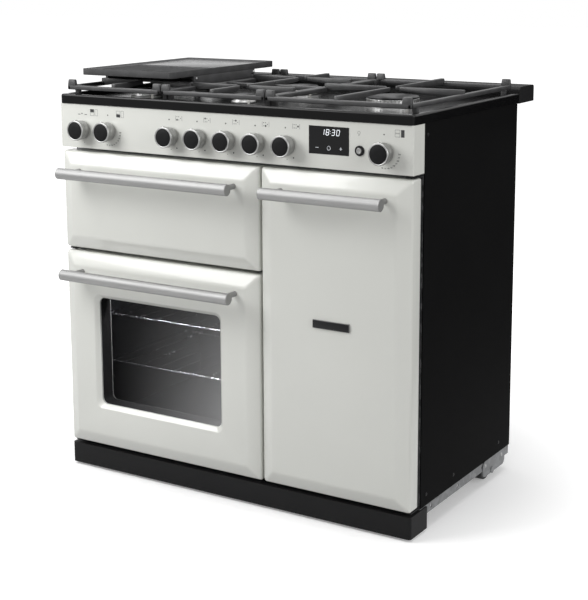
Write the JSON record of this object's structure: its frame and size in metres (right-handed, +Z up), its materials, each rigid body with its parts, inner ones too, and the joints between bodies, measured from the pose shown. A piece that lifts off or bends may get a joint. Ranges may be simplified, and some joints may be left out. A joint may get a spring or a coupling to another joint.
{
  "type": "dual fuel range cooker",
  "caption": "Free-standing range cooker with a gas hob, a griddle, a glide-out grill, side-hinged ovens, bar handles and round knobs on a flat front panel.",
  "frame": {"origin": "middle of the overall box, on the floor", "axes": "+X to the right seen from the front, +Y to the back, +Z up"},
  "size_m": [0.9, 0.673, 0.936],
  "materials": {
    "cream_enamel": "gloss off-white enamel",
    "black_enamel": "satin black enamel",
    "cavity_enamel": "speckled dark enamel",
    "galvanised_sheet": "galvanised",
    "steel": "brushed",
    "chrome_wire": "bright",
    "knob_metal": "satin with a black face",
    "element_sheath": "dark oxide",
    "cast_iron": "matt enamelled",
    "burner_alloy": "cast",
    "burner_cap_enamel": "matt black enamel",
    "brass": "turned",
    "pipe_aluminium": "drawn",
    "seal_rubber": "matt",
    "roller_plastic": "matt",
    "switch_plastic": "matt",
    "display_glass": "gloss",
    "oven_glass": "dark tinted"
  },
  "bodies": {
    "cooker_body": {"base_frame": "galvanised_sheet", "roller_brackets": "steel", "plinth": "black_enamel", "side_panels": "black_enamel", "rear_panel": "galvanised_sheet", "front_frame": "galvanised_sheet", "hob_tray": "black_enamel", "rear_vent_trim": "black_enamel", "control_panel": "cream_enamel", "display_module": "display_glass", "grill_cavity": "cavity_enamel", "left_oven_cavity": "cavity_enamel", "tall_oven_cavity": "cavity_enamel", "oven_seals": "seal_rubber", "heating_elements": "element_sheath", "fan_motors": "steel", "oven_shelves": "chrome_wire", "gas_rail": "steel", "gas_taps": "brass", "burner_pipes": "pipe_aluminium", "selector_switches": "switch_plastic", "burner_heads": "burner_alloy", "burner_caps": "burner_cap_enamel", "door_hinges": "steel", "grill_rails": "steel"},
    "left_door": {"left_door_panel": "cream_enamel", "left_door_liner": "cavity_enamel", "left_door_glass": "oven_glass", "left_door_handle": "steel"},
    "tall_door": {"tall_door_panel": "cream_enamel", "tall_door_liner": "cavity_enamel", "tall_door_handle": "steel"},
    "grill_drawer": {"grill_drawer_front": "cream_enamel", "grill_drawer_handle": "steel", "grill_carriage": "steel", "grill_pan": "cavity_enamel"},
    "grill_knob": {"grill_knob": "knob_metal"},
    "left_oven_knob": {"left_oven_knob": "knob_metal"},
    "tall_oven_knob": {"tall_oven_knob": "knob_metal"},
    "left_front_tap_spindle": {"left_front_tap_spindle": "brass"},
    "left_front_burner_knob": {"left_front_burner_knob": "knob_metal"},
    "left_rear_tap_spindle": {"left_rear_tap_spindle": "brass"},
    "left_rear_burner_knob": {"left_rear_burner_knob": "knob_metal"},
    "centre_rear_tap_spindle": {"centre_rear_tap_spindle": "brass"},
    "centre_rear_burner_knob": {"centre_rear_burner_knob": "knob_metal"},
    "centre_front_tap_spindle": {"centre_front_tap_spindle": "brass"},
    "centre_front_burner_knob": {"centre_front_burner_knob": "knob_metal"},
    "right_tap_spindle": {"right_tap_spindle": "brass"},
    "right_burner_knob": {"right_burner_knob": "knob_metal"},
    "light_button": {"light_button": "knob_metal"},
    "left_oven_fan": {"left_oven_fan": "steel"},
    "tall_oven_fan": {"tall_oven_fan": "steel"},
    "left_roller": {"left_roller": "roller_plastic"},
    "right_roller": {"right_roller": "roller_plastic"},
    "left_foot": {"left_foot": "steel"},
    "right_foot": {"right_foot": "steel"},
    "left_pan_support": {"left_pan_support": "cast_iron"},
    "centre_pan_support": {"centre_pan_support": "cast_iron"},
    "right_pan_support": {"right_pan_support": "cast_iron"},
    "griddle": {"griddle": "cast_iron"}
  },
  "joints": [
    {"name": "left_door_swing", "type": "hinge", "parent": "cooker_body", "child": "left_door", "pos_m": [-0.4355, -0.2415, 0.292], "axis": [0, 0, -1], "range_deg": [0, 110]},
    {"name": "tall_door_swing", "type": "hinge", "parent": "cooker_body", "child": "tall_door", "pos_m": [0.4355, -0.2415, 0.40825], "axis": [0, 0, 1], "range_deg": [0, 110]},
    {"name": "grill_drawer_glide", "type": "slide", "parent": "cooker_body", "child": "grill_drawer", "axis": [0, -1, 0], "range_m": [0, 0.3]},
    {"name": "grill_knob_turn", "type": "hinge", "parent": "cooker_body", "child": "grill_knob", "pos_m": [-0.3842, -0.2835, 0.804], "axis": [0, 1, 0], "range_deg": [0, 270]},
    {"name": "left_oven_knob_turn", "type": "hinge", "parent": "cooker_body", "child": "left_oven_knob", "pos_m": [-0.30995, -0.2835, 0.804], "axis": [0, 1, 0], "range_deg": [0, 270]},
    {"name": "tall_oven_knob_turn", "type": "hinge", "parent": "cooker_body", "child": "tall_oven_knob", "pos_m": [0.3864, -0.2835, 0.804], "axis": [0, 1, 0], "range_deg": [0, 270]},
    {"name": "left_front_tap_press", "type": "slide", "parent": "cooker_body", "child": "left_front_tap_spindle", "axis": [0, 1, 0], "range_m": [0, 0.003], "stiffness_N_per_m": 1500},
    {"name": "left_front_burner_knob_turn", "type": "hinge", "parent": "left_front_tap_spindle", "child": "left_front_burner_knob", "pos_m": [-0.13775, -0.2835, 0.804], "axis": [0, -1, 0], "range_deg": [0, 210]},
    {"name": "left_rear_tap_press", "type": "slide", "parent": "cooker_body", "child": "left_rear_tap_spindle", "axis": [0, 1, 0], "range_m": [0, 0.003], "stiffness_N_per_m": 1500},
    {"name": "left_rear_burner_knob_turn", "type": "hinge", "parent": "left_rear_tap_spindle", "child": "left_rear_burner_knob", "pos_m": [-0.0635, -0.2835, 0.804], "axis": [0, -1, 0], "range_deg": [0, 210]},
    {"name": "centre_rear_tap_press", "type": "slide", "parent": "cooker_body", "child": "centre_rear_tap_spindle", "axis": [0, 1, 0], "range_m": [0, 0.003], "stiffness_N_per_m": 1500},
    {"name": "centre_rear_burner_knob_turn", "type": "hinge", "parent": "centre_rear_tap_spindle", "child": "centre_rear_burner_knob", "pos_m": [0.01075, -0.2835, 0.804], "axis": [0, -1, 0], "range_deg": [0, 210]},
    {"name": "centre_front_tap_press", "type": "slide", "parent": "cooker_body", "child": "centre_front_tap_spindle", "axis": [0, 1, 0], "range_m": [0, 0.003], "stiffness_N_per_m": 1500},
    {"name": "centre_front_burner_knob_turn", "type": "hinge", "parent": "centre_front_tap_spindle", "child": "centre_front_burner_knob", "pos_m": [0.085, -0.2835, 0.804], "axis": [0, -1, 0], "range_deg": [0, 210]},
    {"name": "right_tap_press", "type": "slide", "parent": "cooker_body", "child": "right_tap_spindle", "axis": [0, 1, 0], "range_m": [0, 0.003], "stiffness_N_per_m": 1500},
    {"name": "right_burner_knob_turn", "type": "hinge", "parent": "right_tap_spindle", "child": "right_burner_knob", "pos_m": [0.15925, -0.2835, 0.804], "axis": [0, -1, 0], "range_deg": [0, 210]},
    {"name": "light_button_press", "type": "slide", "parent": "cooker_body", "child": "light_button", "axis": [0, 1, 0], "range_m": [0, 0.0025], "stiffness_N_per_m": 600},
    {"name": "left_oven_fan_spin", "type": "hinge", "parent": "cooker_body", "child": "left_oven_fan", "pos_m": [-0.1805, 0.1715, 0.302], "axis": [0, 1, 0], "continuous": true},
    {"name": "tall_oven_fan_spin", "type": "hinge", "parent": "cooker_body", "child": "tall_oven_fan", "pos_m": [0.26975, 0.1715, 0.41375], "axis": [0, 1, 0], "continuous": true},
    {"name": "left_roller_spin", "type": "hinge", "parent": "cooker_body", "child": "left_roller", "pos_m": [-0.4193, 0.1515, 0.026], "axis": [1, 0, 0], "continuous": true},
    {"name": "right_roller_spin", "type": "hinge", "parent": "cooker_body", "child": "right_roller", "pos_m": [0.4193, 0.1515, 0.026], "axis": [1, 0, 0], "continuous": true},
    {"name": "left_foot_level", "type": "slide", "parent": "cooker_body", "child": "left_foot", "axis": [0, 0, -1], "range_m": [0, 0.025]},
    {"name": "right_foot_level", "type": "slide", "parent": "cooker_body", "child": "right_foot", "axis": [0, 0, -1], "range_m": [0, 0.025]},
    {"name": "left_pan_support_lift", "type": "slide", "parent": "cooker_body", "child": "left_pan_support", "axis": [0, 0, 1], "range_m": [0, 0.12]},
    {"name": "centre_pan_support_lift", "type": "slide", "parent": "cooker_body", "child": "centre_pan_support", "axis": [0, 0, 1], "range_m": [0, 0.12]},
    {"name": "right_pan_support_lift", "type": "slide", "parent": "cooker_body", "child": "right_pan_support", "axis": [0, 0, 1], "range_m": [0, 0.12]},
    {"name": "griddle_lift", "type": "slide", "parent": "left_pan_support", "child": "griddle", "axis": [0, 0, 1], "range_m": [0, 0.12]}
  ]
}
